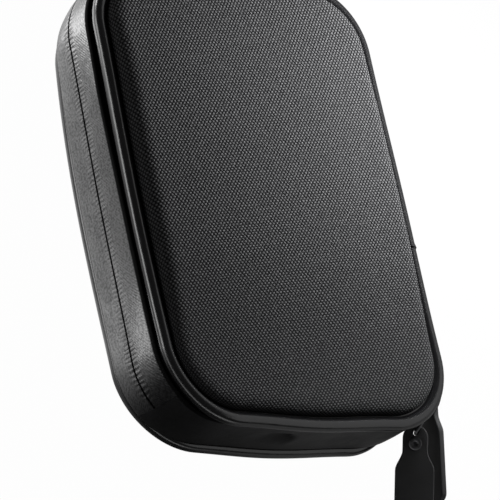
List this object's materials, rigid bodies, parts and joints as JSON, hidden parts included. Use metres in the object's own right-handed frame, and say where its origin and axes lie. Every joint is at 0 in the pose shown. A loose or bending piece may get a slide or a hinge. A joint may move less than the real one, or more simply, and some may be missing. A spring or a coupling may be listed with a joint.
{
  "type": "zip carrying case",
  "caption": "Flat rounded carrying case with crowned fabric faces, piped rims, a zip round three sides, a fold on the fourth and a pair of zip sliders with rubber pull tabs.",
  "frame": {"origin": "middle of the flat of the rear face, with the case lying on its back", "axes": "+X across the case to the side where the sliders are parked, +Y from the fold to the top edge, +Z out of the front face"},
  "size_m": [0.1227, 0.1928, 0.0406],
  "materials": {
    "woven_fabric": "coarse matt weave",
    "foam": "matt",
    "knit_lining": "matt knit",
    "vinyl_piping": "gloss",
    "nylon": "satin",
    "binding_tape": "matt",
    "coated_tape": "satin coated",
    "fold_fabric": "satin",
    "dark_metal": "satin",
    "tab_rubber": "satin"
  },
  "bodies": {
    "rear_half": {"rear_face": "woven_fabric", "rear_foam_pad": "foam", "rear_lining": "knit_lining", "rear_piping": "vinyl_piping", "rear_piping_core": "nylon", "rear_seam_binding": "binding_tape", "rear_zip_tape": "coated_tape", "rear_zip_coil": "nylon", "rear_fold_panel": "fold_fabric"},
    "front_half": {"front_face": "woven_fabric", "front_foam_pad": "foam", "front_lining": "knit_lining", "front_piping": "vinyl_piping", "front_piping_core": "nylon", "front_seam_binding": "binding_tape", "front_zip_tape": "coated_tape", "front_zip_coil": "nylon", "front_fold_panel": "fold_fabric"},
    "upper_slider_body": {"upper_slider": "dark_metal"},
    "upper_link_body": {"upper_pull_link": "dark_metal"},
    "upper_tab_body": {"upper_pull_tab": "tab_rubber", "upper_tab_eyelet": "dark_metal"},
    "lower_slider_body": {"lower_slider": "dark_metal"},
    "lower_link_body": {"lower_pull_link": "dark_metal"},
    "lower_tab_body": {"lower_pull_tab": "tab_rubber", "lower_tab_eyelet": "dark_metal"}
  },
  "joints": [
    {"name": "lid_hinge", "type": "hinge", "parent": "rear_half", "child": "front_half", "pos_m": [0, -0.083, 0.0199], "axis": [1, 0, 0], "range_deg": [0, 135]},
    {"name": "upper_slider_travel", "type": "slide", "parent": "rear_half", "child": "upper_slider_body", "axis": [0, 1, 0], "range_m": [0, 0.1]},
    {"name": "upper_link_swing", "type": "hinge", "parent": "upper_slider_body", "child": "upper_link_body", "pos_m": [0.06035, -0.05394, 0.0199], "axis": [-0.0004, -0.4226, 0.9063], "range_deg": [0, 150]},
    {"name": "upper_tab_swing", "type": "hinge", "parent": "upper_link_body", "child": "upper_tab_body", "pos_m": [0.06204, -0.06246, 0.01593], "axis": [0, -0.2672, 0.9636], "range_deg": [0, 20]},
    {"name": "lower_slider_travel", "type": "hinge", "parent": "rear_half", "child": "lower_slider_body", "pos_m": [0.0302, -0.0552, 0.0199], "axis": [0, 0, 1], "range_deg": [0, 2]},
    {"name": "lower_link_swing", "type": "hinge", "parent": "lower_slider_body", "child": "lower_link_body", "pos_m": [0.05752, -0.06794, 0.0199], "axis": [-0.1786, -0.383, 0.9063], "range_deg": [0, 2]},
    {"name": "lower_tab_swing", "type": "hinge", "parent": "lower_link_body", "child": "lower_tab_body", "pos_m": [0.05338, -0.07541, 0.01593], "axis": [-0.7877, 0.2305, -0.5714], "range_deg": [0, 15]}
  ]
}
